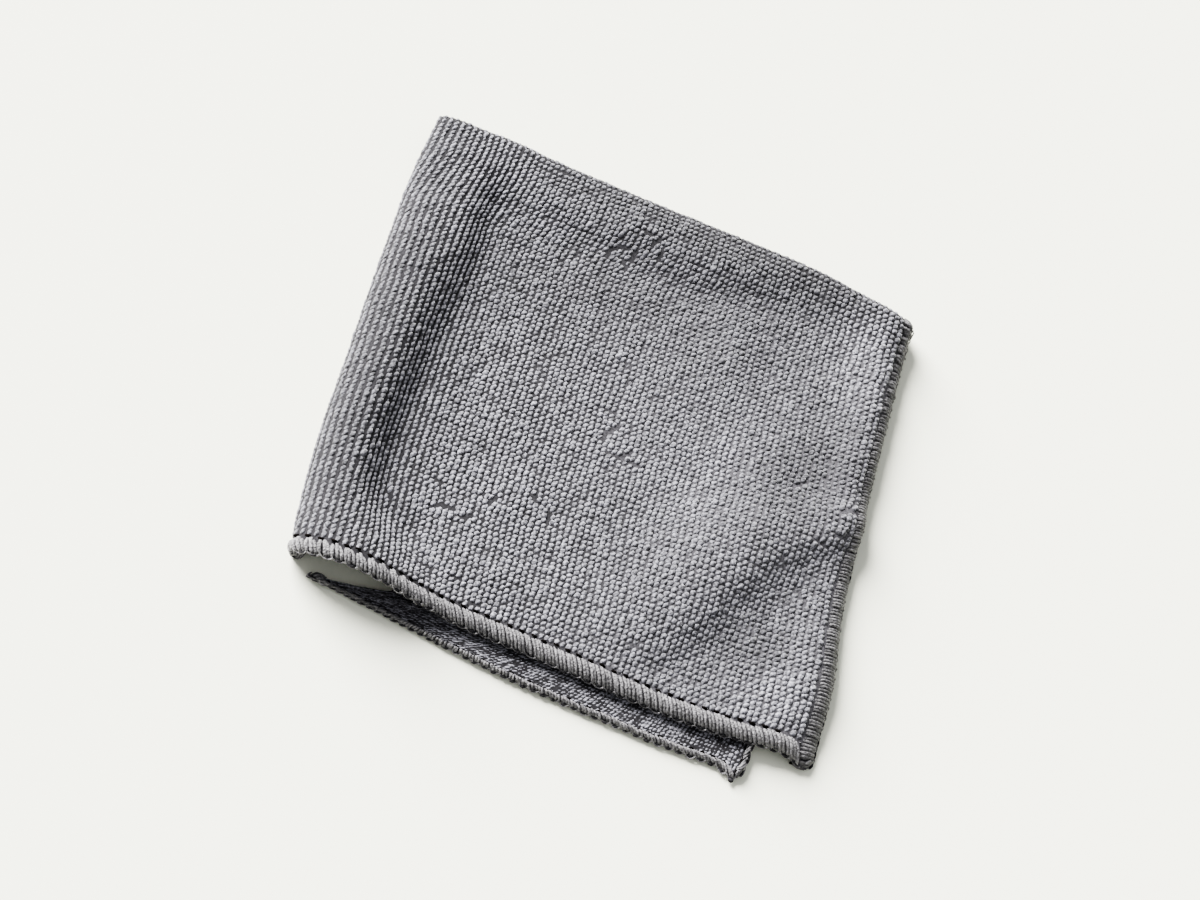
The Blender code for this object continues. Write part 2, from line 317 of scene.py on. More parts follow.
def spaced(*stretches):
    """Places along the cloth: each stretch is start, end and number of steps."""
    lines = [np.linspace(start, end, steps, endpoint=False) for start, end, steps in stretches]
    return np.concatenate(lines + [[stretches[-1][1]]])


one_side = spaced((0, 3, 16), (3, 60, 76), (60, 190, 66), (190, HALF, 10))
line_across = np.concatenate([-one_side[:0:-1], one_side])
line_along = spaced(
    (-HALF, -188, 20), (-188, -WRAP, 92), (-WRAP, WRAP, 24), (WRAP, 150, 60), (150, HALF, 60)
)


def patchy(across, along, grain, seed):
    """A smooth random field of about -1 to 1, in patches grain millimetres wide."""
    reach = HALF + 20
    side = int(2 * reach / grain) + 3
    values = np.random.default_rng(seed).uniform(-1, 1, (side, side))
    x, y = (across + reach) / grain, (along + reach) / grain
    i, j = x.astype(int), y.astype(int)
    f, g = x - i, y - j
    f, g = f * f * (3 - 2 * f), g * g * (3 - 2 * g)
    near = values[j, i] * (1 - f) + values[j, i + 1] * f
    far = values[j + 1, i] * (1 - f) + values[j + 1, i + 1] * f
    return near * (1 - g) + far * g


# Soft waves all over the outer layers: grain and height in millimetres, and seed.
WAVES = ((17, 0.30, 3), (7, 0.10, 4))
RIGHT_HEM_DROP = 2.4
STRIP_HEM_DROP = 0.7
# Soft ridges and troughs in the face, by the place of their middle on the flat cloth, the degrees
# that they are turned from across, and their size.
CREASES = table(
    "across along turned half_length half_width height",
    (105, -14, 0, 52, 11, 1.5),
    (84, -19, 15, 9, 5, 0.6),
    (126, -19, 0, 14, 7, 0.8),
    (151, -128, 57, 45, 17, 3.2),
    (160, -85, 75, 20, 12, 1.2),
    (198, -50, 90, 45, 16, 1.8),
    (91, -146, 0, 6, 6, -0.6),
    (48, -170, 80, 14, 5, -0.5),
    (78, -147, 80, 10, 7, 0.4),
    (138, -50, 80, 18, 12, 1.0),
    (194, -165, 90, 22, 12, 1.6),
    (84, -178, 0, 22, 8, 0.8),
    (31, -40, 95, 34, 8, 1.6),
    (20, -110, 92, 80, 9, 1.3),
    (54, -100, 88, 80, 17, -0.9),
)


def from_middle(across, along, x, y, turned):
    """Distances from a middle at x, y, one along a line turned from across and one square to it."""
    lie = np.radians(turned)
    u = (across - x) * np.cos(lie) + (along - y) * np.sin(lie)
    v = (along - y) * np.cos(lie) - (across - x) * np.sin(lie)
    return u, v


def rumpled(across, along):
    """How far the outer layers stand proud of the smooth folds, in millimetres."""
    height = sum(rise * patchy(across, along, grain, seed) for grain, rise, seed in WAVES)
    height = height * (1 + 0.5 * ease(0, 60, along))
    for x, y, turned, half_length, half_width, rise in zip(*CREASES.values()):
        u, v = from_middle(across, along, x, y, turned)
        height = height + rise * np.exp(-((u / half_length) ** 2) - (v / half_width) ** 2)
    height = height - RIGHT_HEM_DROP * ease(190, HALF, across)
    face = ease(2, 10, -along) * ease(2, 14, across)
    strip = ease(150, 170, along) * ease(0, 8, -across)
    return height * (face + 0.5 * strip) - STRIP_HEM_DROP * strip * ease(187, HALF, along)


def facing(lines):
    """The way the cloth's outer side faces at each crossing of its folded lines."""
    out = np.cross(np.gradient(lines, line_across, axis=1), np.gradient(lines, line_along, axis=0))
    return out / np.linalg.norm(out, axis=2, keepdims=True)


smooth_lines = fold(line_across, line_along)
proud = rumpled(*np.meshgrid(line_across, line_along))
folded_lines = smooth_lines + facing(smooth_lines) * proud[..., None]
outward = facing(folded_lines)


def vertex_places(piece):
    """Where the piece's vertices are, as rows in millimetres."""
    places = np.empty(len(piece.data.vertices) * 3)
    piece.data.vertices.foreach_get("co", places)
    return places.reshape(-1, 3) / MM


def place_vertices(piece, places):
    """Moves the piece's vertices to places in millimetres."""
    piece.data.vertices.foreach_set("co", (places * MM).ravel())


def fold_up(piece):
    """Folds a piece made flat, its Z the distance out from the cloth's middle. Gives each vertex's
    way out from the cloth."""
    across, along, out = vertex_places(piece).T
    inner = HALF - CORNER_RADIUS
    past = np.maximum(np.stack([np.abs(across), np.abs(along)]) - inner, 0)
    kept = np.max(past, axis=0) / np.maximum(np.hypot(*past), 1e-9)
    across = np.where(past.min(axis=0) > 0, np.sign(across) * (inner + past[0] * kept), across)
    along = np.where(past.min(axis=0) > 0, np.sign(along) * (inner + past[1] * kept), along)
    i = np.clip(np.searchsorted(line_across, across) - 1, 0, len(line_across) - 2)
    j = np.clip(np.searchsorted(line_along, along) - 1, 0, len(line_along) - 2)
    f = ((across - line_across[i]) / (line_across[i + 1] - line_across[i]))[:, None]
    g = ((along - line_along[j]) / (line_along[j + 1] - line_along[j]))[:, None]

    def between(values):
        near = values[j, i] * (1 - f) + values[j, i + 1] * f
        return near * (1 - g) + (values[j + 1, i] * (1 - f) + values[j + 1, i + 1] * f) * g

    away = between(outward)
    away /= np.linalg.norm(away, axis=1, keepdims=True)
    place = between(folded_lines) + away * out[:, None] + MIDDLE
    low, start = PRESSED
    pressed = low + (start - low) * np.exp(np.minimum(place[:, 2] - start, 0) / (start - low))
    place[:, 2] = np.where(place[:, 2] < start, pressed, place[:, 2])
    place_vertices(piece, place)
    piece.data.update()
    return away


def new_piece(name):
    """Names the piece that was just added, with its place put into its mesh."""
    piece = bpy.context.object
    piece.name = name
    bpy.ops.object.transform_apply(location=True, rotation=True, scale=True)
    return piece


def mark(piece, name, values):
    """Gives each vertex a number under a name, for the materials to read."""
    piece.data.attributes.new(name, "FLOAT", "POINT").data.foreach_set("value", values)


bpy.ops.object.select_all(action="DESELECT")
sheet_side = spaced((0, 2.4, 6), (2.4, 30, 20), (30, 56, 14), (56, 192, 44), (192, HALF, 4))
sheet_across = np.concatenate([-sheet_side[:0:-1], sheet_side])
sheet_along = spaced(
    (-HALF, -192, 5), (-192, -WRAP, 60), (-WRAP, WRAP, 12), (WRAP, 160, 36), (160, HALF, 24)
)
bpy.ops.mesh.primitive_grid_add(
    x_subdivisions=len(sheet_across) - 1, y_subdivisions=len(sheet_along) - 1, size=1
)
ground = new_piece("knit_ground")
for vertex in ground.data.vertices:
    column = round((vertex.co.x + 0.5) * (len(sheet_across) - 1))
    row = round((vertex.co.y + 0.5) * (len(sheet_along) - 1))
    vertex.co = (sheet_across[column] * MM, sheet_along[row] * MM, 0)
knit_body = ground.modifiers.new("knit's thickness", "SOLIDIFY")
knit_body.thickness = GROUND_THICKNESS * MM
knit_body.offset = 0
bpy.ops.object.modifier_apply(modifier=knit_body.name)
# Past the middle of the face the ground's painted shade is made paler, as the gaps there show less
# shade, but less so near the front hem and not along the far fold.
across, along, _ = vertex_places(ground).T
front_keeps_shade = mound(across, along, (100, -155), (45, 40), 0.7)
mark(ground, "gap_painted_light", ease(60, 150, across) * (1 - front_keeps_shade) * ease(-5, -40, along))
fold_up(ground)
bpy.ops.object.shade_smooth()


def linear(hex_colour):
    """An sRGB hex colour as linear red, green, blue and full alpha."""
    srgb = [int(hex_colour[i : i + 2], 16) / 255 for i in (1, 3, 5)]
    return [c / 12.92 if c <= 0.04045 else ((c + 0.055) / 1.055) ** 2.4 for c in srgb] + [1]


def add(nodes, kind, links=(), **settings):
    """Adds a shader node: settings are its properties and links its (input, value or socket)."""
    node = nodes.new(kind)
    for name, value in settings.items():
        setattr(node, name, value)
    for socket, value in links:
        if isinstance(value, bpy.types.NodeSocket):
            node.id_data.links.new(value, node.inputs[socket])
        else:
            node.inputs[socket].default_value = value
    return node


# Jersey ground of split polyester and polyamide: quite matt. Its dark grey is partly its own colour
# and partly painted shade for the shade between the pearls. Its stitches are 0.7 mm apart, and
# noise at that width stands for them.
STITCHES = 1400  # to the metre
GAP_PAINTED_LIGHT = 1.8  # how much paler the ground's painted shade gets in the marked gaps
knit = bpy.data.materials.new("jersey ground, shaded grey microfibre")
knit.use_nodes = True
nodes = knit.node_tree.nodes
shader = nodes["Principled BSDF"]
shader.inputs["Roughness"].default_value = 0.95
shader.inputs["Specular IOR Level"].default_value = 0.15
coords = add(nodes, "ShaderNodeTexCoord").outputs["Object"]
stitch = add(nodes, "ShaderNodeTexNoise", [("Vector", coords), ("Scale", STITCHES), ("Detail", 2)])
ramp = add(nodes, "ShaderNodeValToRGB", [("Fac", stitch.outputs["Fac"])])
for end, position, colour in zip(ramp.color_ramp.elements, (0.35, 0.7), ("#1F1E20", "#313033")):
    end.position = position
    end.color = linear(colour)
# The ground's painted shade is made paler in the marked gaps.
gap_painted_light = add(nodes, "ShaderNodeAttribute", attribute_name="gap_painted_light").outputs["Fac"]
paler = add(
    nodes, "ShaderNodeMath", [(0, gap_painted_light), (1, GAP_PAINTED_LIGHT), (2, 1.0)], operation="MULTIPLY_ADD"
)
lit_gap_colour = add(
    nodes,
    "ShaderNodeVectorMath",
    [(0, ramp.outputs["Color"]), ("Scale", paler.outputs["Value"])],
    operation="SCALE",
)
knit.node_tree.links.new(lit_gap_colour.outputs["Vector"], shader.inputs["Base Color"])
bump = add(
    nodes,
    "ShaderNodeBump",
    [("Height", stitch.outputs["Fac"]), ("Strength", 0.5), ("Distance", 0.2 * MM)],
)
knit.node_tree.links.new(bump.outputs["Normal"], shader.inputs["Normal"])
ground.data.materials.append(knit)
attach(ground, "root")
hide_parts("cloth")


# The pearls: loops of split microfibre that the knitting machine throws up in columns and rows,
# soft knots of fluff a millimetre high that lean along their column. One is modelled and copied,
# and each copy is pulled about so that no two are alike, as in the real knit.
COLUMN = 2.1
ROW = 2.2
# Where even columns come to lie: the knit is drawn wider over the roll and towards the right hem,
# and its last columns close up under the hem.
COLUMN_PLACES = ((0, 40, 140, 187, 195), (0, 44.4, 144.4, 194.6, 198.4))
KNOT = 1.20  # radius before it is pressed and drawn out
KNOT_TOP = 0.95  # over the cloth's middle
KNOT_FOOT = -0.15
KNOT_SHOULDER = 0.4  # of its height, below its crown
RIGHT_SIDE = (95, 150)  # across: the knit grows fuller and its pearls are painted darker
NEAR_CORNER = (90, 140)  # along, to the front: the right hem takes up more and more of the knit
CORNER_NARROWS = 2.2  # by which the columns close up there
SOFTNESS = 0.1  # share of a piece's shading that follows the cloth, as fluff spreads the light
# Short snags, where the knit is drawn apart and its shade shows, placed as the creases are.
SNAGS = table(
    "across along turned half_length",
    (85.5, -26.9, 17, 2.8), (82.9, -23.4, 42, 0.8), (95.8, -19.5, 73, 1.5),
    (91.0, -27.4, -80, 1.6), (99.5, -24.0, -70, 2.2), (82.2, -30.5, -79, 1.7),
    (89.3, -33.3, -75, 1.5), (92.5, -18.1, 2, 1.6),
    (102.4, -103.4, 63, 4.2), (106.8, -112.0, 9, 1.9), (110.4, -109.9, 66, 1.4),
    (113.9, -112.4, 0, 1.0), (101.0, -95.5, 3, 1.0), (67.2, -148.3, 57, 1.2),
    (70.8, -149.2, -88, 1.7), (54.4, -159.6, 9, 3.7), (63.7, -159.6, 38, 1.0),
    (85.1, -142.1, -33, 1.7), (90.6, -146.2, -69, 2.0), (66.1, -185.1, 8, 1.2),
    (172.5, -93.9, 45, 3.5), (190.4, -97.0, 30, 3.0), (190.1, -108.0, 30, 2.4),
    (183.0, -114.5, 3, 2.8), (172.0, -127.9, -78, 2.6), (182.3, -138.2, -46, 2.8),
    (36.3, -162.4, -36, 1.1), (50.8, -150.0, -33, 1.2), (56.1, -185.1, -35, 1.1),
    (73.8, -192.0, 14, 2.0),
)
SNAG_GAP = 0.85  # from a snag to the pearls pushed to its side
SNAG_REACH = 2.2  # how far to its side they are pushed
SNAG_END = 1.2  # over which the push fades past its ends
# Patches of painted light and shade on the pile, paler or darker, placed in the same way.
PAINTED_PATCHES = table(
    "across along turned half_length half_width paler",
    (95, -40, 10, 60, 30, -0.9), (175, -90, 60, 30, 14, -1.15), (183, -182, 0, 16, 14, 1.5),
    (182, -22, 90, 26, 14, 1.2), (136, -105, 70, 40, 14, 0.5), (150, -158, 60, 25, 10, 0.4),
    (73, -148, 0, 30, 20, 0.3), (15, -120, 90, 90, 14, -1.1), (125, -7, 0, 80, 9, -1.5),
    (30, -18, 90, 40, 18, 0.7), (-125, 198, 0, 90, 9, 0.9), (169, -166, 0, 14, 12, -1.1),
    (112, -140, 0, 20, 16, -0.4),
)
DARK = -0.3  # a shade below this is held back, so that no pearl comes out black
DARKEST = 0.65  # the most that is left below it
DARK_SPREAD = 0.9


def repeated(piece, count, step):
    """Copies a piece in a line, each copy the same step across and along from the last."""
    bpy.context.view_layer.objects.active = piece
    array = piece.modifiers.new("copies", "ARRAY")
    array.count = count
    array.use_relative_offset = False
    array.use_constant_offset = True
    array.constant_offset_displace = (step[0] * MM, step[1] * MM, 0)
    bpy.ops.object.modifier_apply(modifier=array.name)


def soften(piece, away):
    """Turns a piece's shading part of the way to the cloth's own."""
    rounded = np.empty(len(away) * 3)
    piece.data.vertex_normals.foreach_get("vector", rounded)
    soft = (1 - SOFTNESS) * rounded.reshape(-1, 3) + SOFTNESS * away
    soft /= np.linalg.norm(soft, axis=1, keepdims=True)
    piece.data.normals_split_custom_set_from_vertices(soft)


def drawn_apart(across, along):
    """Pearls' places once the snags have pushed those beside them away."""
    for x, y, turned, half_length in zip(*SNAGS.values()):
        u, v = from_middle(across, along, x, y, turned)
        near = np.exp(-((v / SNAG_REACH) ** 2))
        near = near * (1 - ease(half_length, half_length + SNAG_END, np.abs(u)))
        push = SNAG_GAP * near * np.where(v < 0, -1, 1)
        lie = np.radians(turned)
        across, along = across - push * np.sin(lie), along + push * np.cos(lie)
    return across, along


def with_painted_patches(shade, across, along):
    """Pearls' random tone with the patches of painted light and shade added, very dark values held
    back.
    """
    for x, y, turned, half_length, half_width, paler in zip(*PAINTED_PATCHES.values()):
        u, v = from_middle(across, along, x, y, turned)
        shade = shade + paler * np.exp(-((u / half_length) ** 2) - (v / half_width) ** 2)
    return np.where(shade < DARK, DARK + DARKEST * np.tanh((shade - DARK) / DARK_SPREAD), shade)


def pearls(
    name, columns, rows, first_column, first_row, seed, fineness=1.0, places=COLUMN_PLACES
):
    """A field of pearls on the flat cloth, from its first column and row, folded with the cloth."""
    bpy.ops.object.select_all(action="DESELECT")
    bpy.ops.mesh.primitive_ico_sphere_add(subdivisions=1, radius=KNOT * MM)
    field = new_piece(name)
    column, row = COLUMN * fineness, ROW * fineness
    repeated(field, columns, (column, 0))
    repeated(field, rows, (0, row))

    # Each knot about its own middle, unevenly round and turned any way.
    flat = vertex_places(field).reshape(rows * columns, -1, 3)
    middle = np.stack(np.meshgrid(np.arange(columns) * column, np.arange(rows) * row), axis=-1)
    middle = middle.reshape(-1, 1, 2)
    knot = flat - np.concatenate([middle, np.zeros_like(middle[..., :1])], axis=-1)
    rng = np.random.default_rng(seed)
    count = len(knot)
    knot += rng.normal(0, 0.11, knot.shape)
    turn = rng.uniform(0, 2 * np.pi, (count, 1))
    x = knot[..., 0] * np.cos(turn) - knot[..., 1] * np.sin(turn)
    y = knot[..., 0] * np.sin(turn) + knot[..., 1] * np.cos(turn)
    z = knot[..., 2]
    lift = np.clip(0.5 + 0.5 * z / KNOT, 0, 1)
    crown = np.sqrt(np.clip(z / KNOT, 0, 1))
    narrower = 1.10 - 0.16 * crown

    # Where the knots stand on the cloth. Over the roll they are stretched along their columns.
    even = np.abs(middle[..., 0] + first_column)
    across = np.sign(first_column) * np.interp(even, *places)
    along = middle[..., 1] + first_row
    across = across - CORNER_NARROWS * ease(140, 193, across) * ease(*NEAR_CORNER, -along)
    stretched = 1 - ease(34, 52, np.abs(across))
    fuller = ease(*RIGHT_SIDE, across)
    over_fold = 1 - ease(6, 18, np.abs(along))
    if fineness < 1:
        x = 1.2 * x * (np.interp(even + 0.5, *places) - np.interp(even - 0.5, *places))

    # The knots' shape: wide at the foot, drawn out along the column, and leaning.
    size = fineness * (1 + 0.05 * fuller) * rng.normal(1.0, 0.08, (count, 1))
    x = x * narrower * size * (0.87 - 0.15 * stretched)
    y = y * narrower * size * (1.18 + 0.24 * stretched - 0.26 * over_fold)
    y = y * rng.normal(1.0, 0.05, (count, 1))
    tilt = rng.normal(0, 0.12, (count, 2)) + (0.05, 0.10)
    x, y = x + 0.22 * y + tilt[:, :1] * z, y + tilt[:, 1:] * z
    z = np.where(z < -0.6 * KNOT, KNOT_FOOT, KNOT_FOOT + KNOT_SHOULDER * lift)
    z = (z + (KNOT_TOP - KNOT_SHOULDER - KNOT_FOOT) * crown) * size
    # The painted shade at the knots' feet is held lighter on the face, and more so on its right
    # side.
    lift = np.maximum(lift, 0.45 * (across > 0) + 0.2 * fuller)

    # The knit wanders a little, and more where it isn't stretched.
    loose = 1 - 0.6 * stretched
    across = across + loose * (
        0.06 * rng.normal(size=(count, 1))
        + 0.30 * patchy(across, along, 9, 11) + 0.26 * patchy(across, along, 4, 12)
    )
    along = along + 0.08 * rng.normal(size=(count, 1))
    along = along + 0.34 * patchy(across, along, 8, 13) + 0.28 * patchy(across, along, 4, 14)
    z = z + 0.10 * patchy(across, along, 3.2, 15)
    across, along = drawn_apart(across, along)
    # Each pearl's random tone, painted darker on the right side, plus the patches of painted light
    # and shade.
    shade = with_painted_patches(rng.uniform(0.1, 0.9, (count, 1)) - 0.55 * fuller, across, along)

    place_vertices(field, np.stack([x + across, y + along, z], axis=-1))
    # The pile material darkens each knot towards its foot by its lift: painted shade.
    mark(field, "lift", lift.ravel())
    mark(field, "tint", np.repeat(shade, knot.shape[1]))
    away = fold_up(field)
    bpy.ops.object.shade_smooth()
    soften(field, away)
    return field


# Split microfibre pile: cool mid-grey at its tips and darkened towards its foot by painted shade,
# matt with a soft sheen.
# The view's film curve shows its colours much paler than they are. Its fibres are far too fine to
# show, so the fluff is drawn as lumps 0.9 mm apart.
FLUFF = 1150  # to the metre
pile = bpy.data.materials.new("split microfibre pile, pale grey")
pile.use_nodes = True
nodes = pile.node_tree.nodes
shader = nodes["Principled BSDF"]
shader.inputs["Roughness"].default_value = 0.85
shader.inputs["Specular IOR Level"].default_value = 0.25
shader.inputs["Sheen Weight"].default_value = 0.25
shader.inputs["Sheen Roughness"].default_value = 0.45
coords = add(nodes, "ShaderNodeTexCoord").outputs["Object"]
fluff = add(nodes, "ShaderNodeTexNoise", [("Vector", coords), ("Scale", FLUFF), ("Detail", 3)])
lift = add(nodes, "ShaderNodeAttribute", attribute_name="lift").outputs["Fac"]
lumps = add(
    nodes,
    "ShaderNodeMath",
    [(0, fluff.outputs["Fac"]), (1, 2.0), (2, -0.95)],
    operation="MULTIPLY_ADD",
)
depth = add(
    nodes,
    "ShaderNodeMath",
    [(0, lift), (1, 0.8), (2, lumps.outputs["Value"])],
    operation="MULTIPLY_ADD",
)
# Painted shade: darker towards the knot's foot, lighter at its crown.
ramp = add(nodes, "ShaderNodeValToRGB", [("Fac", depth.outputs["Value"])])
for end, position, colour in zip(ramp.color_ramp.elements, (0.42, 1.0), ("#39383C", "#828189")):
    end.position = position
    end.color = linear(colour)
tint = add(nodes, "ShaderNodeAttribute", attribute_name="tint").outputs["Fac"]
paler = add(nodes, "ShaderNodeMath", [(0, tint), (1, 0.42), (2, 0.76)], operation="MULTIPLY_ADD")
tinted = add(
    nodes,
    "ShaderNodeVectorMath",
    [(0, ramp.outputs["Color"]), ("Scale", paler.outputs["Value"])],
    operation="SCALE",
)
pile.node_tree.links.new(tinted.outputs["Vector"], shader.inputs["Base Color"])
bump = add(
    nodes,
    "ShaderNodeBump",
    [("Height", fluff.outputs["Fac"]), ("Strength", 0.6), ("Distance", 1.0 * MM)],
)
pile.node_tree.links.new(bump.outputs["Normal"], shader.inputs["Normal"])

# The face and the underside carry all their pearls, the lining those that show in the roll's mouth,
# and the lower half's inner layer those that show on the strip in front.
COLUMNS, ROWS = 89, 88
LINING_COLUMNS, LINING_ROWS = 24, 60
STRIP_COLUMNS, STRIP_ROWS = 101, 34
FINE = 0.66  # of the pearls' size, on the strip
STRIP_SPARE = 58  # of the cloth's width, taken up by the strip's gathers
FIRST_STRIP_COLUMN = 0.8  # from the fold line
LAST_STRIP_ROW = 197.6
# The strip is gathered towards its fold, so its columns are set evenly once it is.
flat_places = np.linspace(0, HALF, 41)
gathered = 1 - np.exp(-flat_places * GATHER / STRIP_SPARE)
gathered = STRIP_SPARE * gathered / gathered[-1]
front_row = -ROW / 2 - (ROWS - 1) * ROW
fields = [
    pearls("pearls_face", COLUMNS, ROWS, COLUMN / 2, front_row, 21),
    pearls("pearls_underside", COLUMNS, ROWS + 1, COLUMN / 2, ROW / 2, 22),
    pearls(
        "pearls_lining", LINING_COLUMNS, LINING_ROWS,
        -COLUMN / 2 - (LINING_COLUMNS - 1) * COLUMN, front_row, 23,
    ),
    pearls(
        "pearls_strip", STRIP_COLUMNS, STRIP_ROWS,
        -FIRST_STRIP_COLUMN - (STRIP_COLUMNS - 1) * FINE * COLUMN,
        LAST_STRIP_ROW - (STRIP_ROWS - 1) * FINE * ROW,
        24, FINE, (flat_places - gathered, flat_places),
    ),
]
for field in fields:
    field.data.materials.append(pile)
    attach(field, "root")
    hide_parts("cloth")


# The overlocked edge: three polyester threads sewn over the raw edge all round the cloth. Strands
# slant across it in puffy bundles of three from a needle line 6 mm in, each bundle drawn together
# where the needle thread holds it, and a looper thread scallops along the lip.
BUNDLE = 4.2  # from one bundle to the next
BUNDLES = 96  # along one edge, running past both its ends
STRANDS = 3
STRAND = BUNDLE / STRANDS
STRAND_RADIUS = 0.79
LOOP_RADIUS = 0.18
# Threads made for an edge at X 0 that runs along Y: (out, height), and (out, along, height).
STRAND_LINE = (
    (-5.3, 0.00), (-4.7, 0.60), (-3.5, 0.98), (-2.0, 0.98), (-0.7, 0.55), (-0.1, -0.15),
    (-0.8, -0.6),
)
LOOP_LINE = (
    (-0.6, -0.1, 1.3), (0.35, 0.1, 0.85), (0.8, 1.0, 0.1), (0.95, 2.1, -0.1), (0.8, 3.2, 0.1),
    (0.35, 4.1, 0.85),
)
# Where the hem's width comes to lie at the lower half's edges: most of it is rolled under.
UNDER_HEM = ((-6.6, 0.4, 0.9, 2.0), (-2.4, 0.2, 0.9, 2.0))
CORNER_WIDENS = 0.24  # share by which the face's right hem gets wider near its front corner
ROUND_CORNER = 199.4  # along: threads past here are drawn back and down round the corner
KEPT_BUNDLES = {1: (2, 95), 3: (2, 94)}  # from and up to, on the edges that stop short
RIGHT_HEM = 8  # its width on the flat cloth, where the threads are painted darker as shade
RIGHT_HEM_X = 88  # where it starts on the folded cloth
NEEDLE_HIDDEN = (84, -86)  # X and Y: the needle line is hidden to the right of and behind them


def thread(name, line, radius):
    """A thread through places (out, along, height) in millimetres, as a closed mesh."""
    bpy.ops.object.select_all(action="DESELECT")
    bpy.ops.curve.primitive_bezier_curve_add()
    curve = bpy.context.object
    curve.data.splines.clear()
    spline = curve.data.splines.new("POLY")
    spline.points.add(len(line) - 1)
    for point, place in zip(spline.points, line):
        point.co = (*(np.array(place) * MM), 1)
    curve.data.dimensions = "3D"
    curve.data.bevel_depth = radius * MM
    curve.data.bevel_resolution = 1
    curve.data.use_fill_caps = True
    bpy.ops.object.convert(target="MESH")
    return new_piece(name)


def cut_away(piece, unwanted):
    """Deletes each thread or stitch of a piece that has a vertex in the list of unwanted ones."""
    bpy.ops.object.select_all(action="DESELECT")
    bpy.context.view_layer.objects.active = piece
    bpy.ops.object.mode_set(mode="EDIT")
    bpy.ops.mesh.select_all(action="DESELECT")
    bpy.ops.object.mode_set(mode="OBJECT")
    for vertex, chosen in zip(piece.data.vertices, unwanted):
        vertex.select = bool(chosen)
    bpy.ops.object.mode_set(mode="EDIT")
    bpy.ops.mesh.select_linked()
    bpy.ops.mesh.delete(type="VERT")
    bpy.ops.object.mode_set(mode="OBJECT")


def on_edges(piece, each, seed):
    """Sets bundles made for an edge at X 0 on all four edges and folds them up. The side edges run
    through and round the corners, and the other two stop against them."""
    out, along, high = vertex_places(piece).T
    along = along - BUNDLES * BUNDLE / 2
    slant = 0.12 + 0.36 * ease(15, 70, np.abs(along))
    along = along + slant * (out + 3)
    beyond = np.maximum(np.abs(along) - ROUND_CORNER, 0)
    along = np.sign(along) * (np.abs(along) - 0.7 * beyond)
    high = high - 0.9 * beyond
    widened = out * (1 + CORNER_WIDENS * ease(*NEAR_CORNER, -along))
    rolled_under = np.interp(out, *UNDER_HEM)
    bundle = np.arange(len(out)) * BUNDLES // len(out)
    sides = [piece]
    for side in range(1, 4):
        copy = piece.copy()
        copy.data = piece.data.copy()
        bpy.context.collection.objects.link(copy)
        sides.append(copy)
    across_edge = (np.where(out < 0, widened, out), rolled_under, rolled_under, out)
    for side, (copy, reach) in enumerate(zip(sides, across_edge)):
        place_vertices(copy, np.stack([reach + HALF, along, high], axis=-1))
        copy.data.transform(Matrix.Rotation(side * np.pi / 2, 4, "Z"))
    for side, (first, end) in KEPT_BUNDLES.items():
        cut_away(sides[side], (bundle < first) | (bundle >= end))
    bpy.ops.object.select_all(action="DESELECT")
    for side in sides:
        side.select_set(True)
    bpy.context.view_layer.objects.active = piece
    bpy.ops.object.join()

    flat = vertex_places(piece).reshape(-1, each, 3)
    rng = np.random.default_rng(seed)
    flat += rng.normal(0, 0.13, (len(flat), 1, 3)) + rng.normal(0, 0.05, flat.shape)
    place_vertices(piece, flat)
    # The right hem's threads are painted darker: painted shade, as that hem faces away from the
    # light.
    shaded = 0.8 * (flat[..., 0].mean(axis=1) > HALF - RIGHT_HEM)
    mark(piece, "tint", np.repeat(rng.uniform(0, 1, len(flat)) - shaded, each))
    away = fold_up(piece)
    bpy.ops.object.shade_smooth()
    soften(piece, away)


strands = thread("overlock_strands", [(out, 0, high) for out, high in STRAND_LINE], STRAND_RADIUS)
each_strand = len(strands.data.vertices)
# Each strand is darker towards its sides: painted shade between the strands.
mark(strands, "lift", 1 - np.abs(vertex_places(strands)[:, 1]) / STRAND_RADIUS)
repeated(strands, STRANDS, (0, STRAND))
repeated(strands, BUNDLES, (0, BUNDLE))
# The strands close up towards the needle line, most tightly in the middle of an edge.
bundles = vertex_places(strands).reshape(BUNDLES, STRANDS, each_strand, 3)
off = (np.arange(STRANDS) - (STRANDS - 1) / 2)[None, :, None]
drawn = ease(-2.5, -5.2, bundles[..., 0])
from_centre = np.abs((np.arange(BUNDLES) - (BUNDLES - 1) / 2) * BUNDLE)[:, None, None]
tight = 0.34 - 0.28 * ease(35, 70, from_centre)
bundles[..., 0] += drawn * (0.1 + 1.1 * tight) * off**2
bundles[..., 1] -= drawn * tight * STRAND * off
bundles[..., 2] -= drawn * 0.6 * tight * off**2
place_vertices(strands, bundles)
on_edges(strands, each_strand, 31)
# Along the right edge the painted shade between the threads is held light.
for vertex, lifted in zip(strands.data.vertices, strands.data.attributes["lift"].data):
    if vertex.co.x > RIGHT_HEM_X * MM:
        lifted.value = max(lifted.value, 0.5)

loops = thread("looper_thread", LOOP_LINE, LOOP_RADIUS)
each_loop = len(loops.data.vertices)
mark(loops, "lift", [0.6] * each_loop)
repeated(loops, BUNDLES, (0, BUNDLE))
on_edges(loops, each_loop, 32)

# Dark marks along the lip: painted shade in the hollows under the looper thread.
bpy.ops.object.select_all(action="DESELECT")
bpy.ops.mesh.primitive_ico_sphere_add(
    subdivisions=1, radius=MM, location=(0.6 * MM, 2.1 * MM, 0.1 * MM), scale=(0.5, 1.35, 0.5)
)
lip = new_piece("lip_painted_shade")
